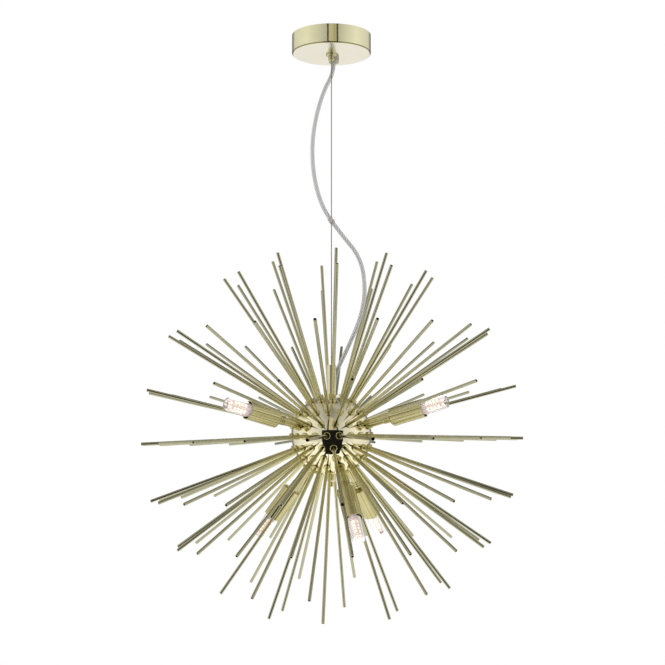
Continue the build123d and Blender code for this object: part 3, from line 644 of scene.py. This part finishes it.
def bulb_core(name, matrix):
    """Make the square board post that stands inside a bulb."""
    bm = bmesh.new()
    size = Matrix.Diagonal((CORE_WIDTH, CORE_WIDTH, CORE_END - NECK_END + CORE_OVERLAP, 1))
    middle = Matrix.Translation((0, 0, (NECK_END - CORE_OVERLAP + CORE_END) / 2))
    bmesh.ops.create_cube(bm, size=1, matrix=middle @ size)
    bmesh.ops.bevel(bm, geom=bm.edges[:], offset=CORE_BEVEL, segments=2, affect="EDGES")
    piece = mesh_object(name, bm, matrix)
    sharpen(piece)
    return piece


def bulb_chips(name, matrix):
    """Make the light chips: two columns on each side of the post and four on its end."""
    places = []
    for side in range(4):
        turn = Matrix.Rotation(side * pi / 2, 4, "Z")
        for row in range(CHIP_ROWS):
            for column in (-CHIP_COLUMN, CHIP_COLUMN):
                height = FIRST_CHIP + row * CHIP_PITCH
                seat = Matrix.Translation((CORE_WIDTH / 2 - CHIP_SINK, column, height))
                places.append(turn @ seat @ Matrix.Rotation(pi / 2, 4, "Y"))
    for x in (-1, 1):
        for y in (-1, 1):
            corner = (x * END_CHIP_ASIDE, y * END_CHIP_ASIDE, CORE_END - CHIP_SINK)
            places.append(Matrix.Translation(corner))
    size = Matrix.Diagonal((*CHIP_SIZE, 1))
    bm = bmesh.new()
    for place in places:
        bmesh.ops.create_uvsphere(bm, u_segments=12, v_segments=8, radius=1, matrix=place @ size)
    return mesh_object(name, bm, matrix)


def bulb_base(name, matrix):
    """Make a bulb's base, with the step for its envelope and the neck inside it."""
    foot, top = BULB_FOOT, BULB_SHOULDER
    lip = BULB_RADIUS - BULB_GLASS - SEAT_GAP
    profile = [
        (0, foot),
        (BULB_RADIUS - 0.003, foot),
        *arc((BULB_RADIUS - BASE_ROUND, foot + BASE_ROUND), BASE_ROUND, -90, 0, 5),
        (BULB_RADIUS, top - SEAT_GAP),
        (lip, top - SEAT_GAP),
        (lip, top + 0.0012),
        (NECK_RADIUS, top + 0.0022),
        (NECK_RADIUS, NECK_END - 0.001),
        (NECK_RADIUS - 0.001, NECK_END),
        (0, NECK_END),
    ]
    bm = bmesh.new()
    lathe(bm, profile)
    piece = mesh_object(name, bm, matrix)
    sharpen(piece)
    return piece


def bulb_pins(name, matrix):
    """Make a bulb's two flat looped pins."""
    bm = bmesh.new()
    half = PIN_WIDTH / 2
    loop = arc((0, -PIN_LENGTH + half), half, 180, 360, 10)
    outline = [(-half, PIN_SINK), *loop, (half, PIN_SINK)]
    for side in (-1, 1):
        middle = Vector((side * PIN_SPACING / 2, 0, BULB_FOOT))
        layers = []
        for depth in (-PIN_HALF_THICKNESS, PIN_HALF_THICKNESS):
            layers.append([bm.verts.new(middle + Vector((x, depth, z))) for x, z in outline])
        bm.faces.new(layers[0])
        bm.faces.new(reversed(layers[1]))
        for i in range(len(outline)):
            j = (i + 1) % len(outline)
            bm.faces.new([layers[0][j], layers[0][i], layers[1][i], layers[1][j]])
    piece = mesh_object(name, bm, matrix)
    sharpen(piece)
    return piece


def make_bulbs(finishes):
    """Make the six bulbs in the places of their CAD solids."""
    glow = glowing("light_chip", (1.0, 0.93, 0.78), (1.0, 0.89, 0.70), 1.2)
    # The board and the base glow faintly too: painted light for the chips' light falling on them.
    board = glowing("chip_board", (0.78, 0.68, 0.60), (0.70, 0.60, 0.53), 0.55)
    base = glowing("bulb_base", (0.68, 0.61, 0.60), (0.62, 0.55, 0.54), 0.42)
    pin = polished_metal("pin_wire", (0.66, 0.66, 0.66), (0.56, 0.56, 0.56), 0.25, 0.4, 0.05)
    makers = {
        "envelope": (bulb_envelope, finishes["bulb_clear"]),
        "core": (bulb_core, board),
        "chips": (bulb_chips, glow),
        "base": (bulb_base, base),
        "pins": (bulb_pins, pin),
    }
    for number, place in enumerate(LAMP_PLACES, start=1):
        matrix = lamp_matrix(*place)
        body = f"bulb_{number}"
        for kind, (maker, material) in makers.items():
            piece = maker(f"bulb_{number}_{kind}", matrix)
            piece.data.materials.append(material)
            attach(piece, body)
            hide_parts(body)


# ---------------------------------------------------------------- studio
def seen_or_mirrored(nodes, links):
    """Return the socket that is 1 for rays of the camera, of mirrors and through glass."""
    path = add_node(nodes, "ShaderNodeLightPath")
    seen = add_node(nodes, "ShaderNodeMath", operation="MAXIMUM")
    mirrored = add_node(nodes, "ShaderNodeMath", operation="MAXIMUM")
    links.new(path.outputs["Is Glossy Ray"], mirrored.inputs[0])
    links.new(path.outputs["Is Transmission Ray"], mirrored.inputs[1])
    links.new(path.outputs["Is Camera Ray"], seen.inputs[0])
    links.new(mirrored.outputs["Value"], seen.inputs[1])
    return seen.outputs["Value"]


def make_floor():
    """Make the pale floor far below the part."""
    bm = bmesh.new()
    bmesh.ops.create_circle(bm, cap_ends=True, segments=96, radius=FLOOR_RADIUS)
    floor = mesh_object("floor", bm, Matrix.Translation((0, 0, FLOOR_HEIGHT)))
    material, nodes, links, shader = new_material("floor")
    shader.inputs["Roughness"].default_value = 0.8
    place = object_point(nodes, links)
    cloud = noise(nodes, links, place, 2.0)
    pale = tint(nodes, links, cloud, (0.90, 0.90, 0.89), (0.86, 0.86, 0.85))
    links.new(pale, shader.inputs["Base Color"])
    seen = seen_or_mirrored(nodes, links)
    glow = add_node(nodes, "ShaderNodeMath", operation="MULTIPLY")
    links.new(seen, glow.inputs[0])
    glow.inputs[1].default_value = FLOOR_GLOW
    links.new(glow.outputs["Value"], shader.inputs["Emission Strength"])
    shader.inputs["Emission Color"].default_value = (1, 1, 1, 1)
    floor.data.materials.append(material)


def studio_brightness(nodes, links):
    """Return the brightness of the studio in a direction, as polished metal mirrors it."""
    place = add_node(nodes, "ShaderNodeTexCoord")
    axes = add_node(nodes, "ShaderNodeSeparateXYZ")
    links.new(place.outputs["Generated"], axes.inputs["Vector"])
    towards_viewer = add_node(nodes, "ShaderNodeMath", operation="MULTIPLY")
    links.new(axes.outputs["Y"], towards_viewer.inputs[0])
    towards_viewer.inputs[1].default_value = -1
    turn = add_node(nodes, "ShaderNodeMath", operation="ARCTAN2")
    links.new(axes.outputs["X"], turn.inputs[0])
    links.new(towards_viewer.outputs["Value"], turn.inputs[1])
    aside = add_node(nodes, "ShaderNodeMath", operation="ABSOLUTE")
    links.new(turn.outputs["Value"], aside.inputs[0])
    share = add_node(nodes, "ShaderNodeMath", operation="DIVIDE")
    links.new(aside.outputs["Value"], share.inputs[0])
    share.inputs[1].default_value = pi
    ramp = add_node(nodes, "ShaderNodeValToRGB")
    links.new(share.outputs["Value"], ramp.inputs["Fac"])
    stops = ramp.color_ramp.elements
    stops[0].position, stops[0].color = 0, (*[STUDIO_STOPS[0][1]] * 3, 1)
    stops[1].position, stops[1].color = 1, (*[STUDIO_STOPS[-1][1]] * 3, 1)
    for degrees, value in STUDIO_STOPS[1:-1]:
        stops.new(degrees / 180).color = (value, value, value, 1)
    height = axes.outputs["Z"]
    overhead = spread(nodes, links, height, 1.0, OVERHEAD_BRIGHTNESS, near=0.5, far=0.95)
    brightness = add_node(nodes, "ShaderNodeMix", data_type="RGBA", blend_type="MULTIPLY")
    brightness.inputs["Factor"].default_value = 1
    links.new(ramp.outputs["Color"], brightness.inputs["A"])
    links.new(overhead, brightness.inputs["B"])
    return brightness.outputs["Result"]


def make_world():
    """Light the scene from all round: white to the camera, a studio in reflections."""
    world = bpy.data.worlds.new("studio")
    bpy.context.scene.world = world
    world.use_nodes = True
    nodes, links = world.node_tree.nodes, world.node_tree.links
    plain = nodes["Background"]
    path = add_node(nodes, "ShaderNodeLightPath")
    strength = add_node(nodes, "ShaderNodeMapRange", {"To Min": ROOM_LIGHT, "To Max": 1.0})
    seen = add_node(nodes, "ShaderNodeMath", operation="MAXIMUM")
    links.new(path.outputs["Is Camera Ray"], seen.inputs[0])
    links.new(path.outputs["Is Transmission Ray"], seen.inputs[1])
    links.new(seen.outputs["Value"], strength.inputs["Value"])
    links.new(strength.outputs["Result"], plain.inputs["Strength"])
    plain.inputs["Color"].default_value = (1, 1, 1, 1)
    mirrored = add_node(nodes, "ShaderNodeBackground")
    links.new(studio_brightness(nodes, links), mirrored.inputs["Color"])
    choice = add_node(nodes, "ShaderNodeMixShader")
    links.new(path.outputs["Is Glossy Ray"], choice.inputs["Fac"])
    links.new(plain.outputs["Background"], choice.inputs[1])
    links.new(mirrored.outputs["Background"], choice.inputs[2])
    links.new(choice.outputs["Shader"], nodes["World Output"].inputs["Surface"])


def area_light(name, place, aim, size, power):
    """Add a soft area light that points at a place."""
    light = bpy.data.lights.new(name, "AREA")
    light.shape = "DISK"
    light.size = size
    light.energy = power
    obj = bpy.data.objects.new(name, light)
    obj.visible_glossy = False
    obj.location = place
    obj.rotation_euler = (Vector(aim) - Vector(place)).to_track_quat("-Z", "Y").to_euler()
    bpy.context.collection.objects.link(obj)


def reflection_card(name, outline, colour):
    """Hang a flat card before the part that shows only in its reflections."""
    material, _, _, shader = new_material(name)
    shader.inputs["Base Color"].default_value = (0, 0, 0, 1)
    shader.inputs["Specular IOR Level"].default_value = 0
    shader.inputs["Emission Color"].default_value = (*colour, 1)
    shader.inputs["Emission Strength"].default_value = 1.0
    bm = bmesh.new()
    bm.faces.new([bm.verts.new((x, y, z)) for x, y, z in outline])
    card = mesh_object(name, bm)
    card.data.materials.append(material)
    card.visible_camera = False
    card.visible_diffuse = False
    card.visible_transmission = False
    card.visible_shadow = False


def upright(left, right, low, high, distance):
    """Return the corners of an upright rectangle before the part."""
    corners = [(left, low), (right, low), (right, high), (left, high)]
    return [(x, -distance, z) for x, z in corners]


def make_camera_opening():
    """Make the dark opening that the camera looks through, and the slot above it."""
    distance, foot, head, slot_head = 1.2, -2.5, -0.37, 0.7
    slot_left, slot_split, slot_right, edge = -0.165, 0.10, 0.32, 0.09
    opening = upright(-0.60, 0.78, foot, head, distance)
    reflection_card("camera_opening", opening, (0.01, 0.01, 0.01))
    bright_side = upright(slot_left, slot_split, head, slot_head, distance)
    reflection_card("slot_bright_side", bright_side, (0.62, 0.58, 0.46))
    dim_side = upright(slot_split, slot_right, head, slot_head, distance)
    reflection_card("slot_dim_side", dim_side, (0.50, 0.46, 0.34))
    for side, near in (("left", slot_left - edge), ("right", slot_right)):
        outline = upright(near, near + edge, head, slot_head, distance)
        reflection_card(f"slot_edge_{side}", outline, (0.02, 0.018, 0.012))


def make_studio():
    """Set the view, and make the floor, the world, the lights and the reflection cards."""
    bpy.context.scene.view_settings.view_transform = "Standard"
    make_world()
    make_floor()
    make_camera_opening()
    area_light("key", (-2.2, -2.4, 0.9), BALL_CENTRE, 1.6, 30)
    area_light("fill", (2.6, -1.6, -0.2), BALL_CENTRE, 1.8, 18)
    area_light("back", (0.4, 2.6, 0.8), BALL_CENTRE, 1.4, 20)


make_camera()
finishes = dress_frame()
make_cords(finishes["clear_cord"])
make_bulbs(finishes)
make_studio()
